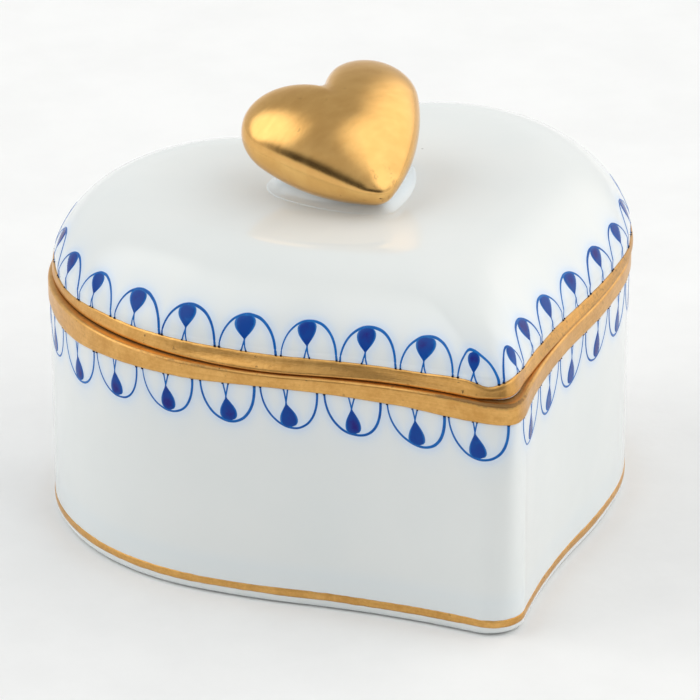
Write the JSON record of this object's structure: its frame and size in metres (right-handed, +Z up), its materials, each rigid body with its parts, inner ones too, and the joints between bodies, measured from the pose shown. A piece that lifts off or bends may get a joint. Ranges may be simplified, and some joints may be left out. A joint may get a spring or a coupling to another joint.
{
  "type": "porcelain trinket box",
  "caption": "Heart-shaped glazed porcelain box with upright walls, a domed lift-off lid with a gilded heart knob, gilded rims and a painted scalloped border.",
  "frame": {"origin": "centre of the body's footprint, on the surface that the box stands on", "axes": "+Z up through the lid; the heart's tip points along -Y and its notch along +Y; +X to the right when the tip faces the viewer"},
  "size_m": [0.0684, 0.0688, 0.0525],
  "materials": {
    "glazed_porcelain": "clear gloss glaze over cool white porcelain",
    "biscuit_porcelain": "thin semi-matt glaze on the wiped fitting faces",
    "rim_gold": "brush-applied fired gold, satin",
    "liner_gold": "fine brushed gold line, satin",
    "burnished_gold": "burnished fired gold over a porcelain knob",
    "cobalt_enamel": "cobalt blue brushwork under the glaze"
  },
  "bodies": {
    "base": {"body_shell": "glazed_porcelain", "body_rim_gilding": "rim_gold", "foot_gilt_line": "liner_gold"},
    "lid": {"lid_shell": "glazed_porcelain", "lid_locating_flange": "biscuit_porcelain", "lid_rim_gilding": "rim_gold", "knob_seat": "glazed_porcelain", "heart_knob": "burnished_gold"}
  },
  "joints": [
    {"name": "lid_lift", "type": "slide", "parent": "base", "child": "lid", "axis": [0, 0, 1], "range_m": [0, 0.04]}
  ]
}
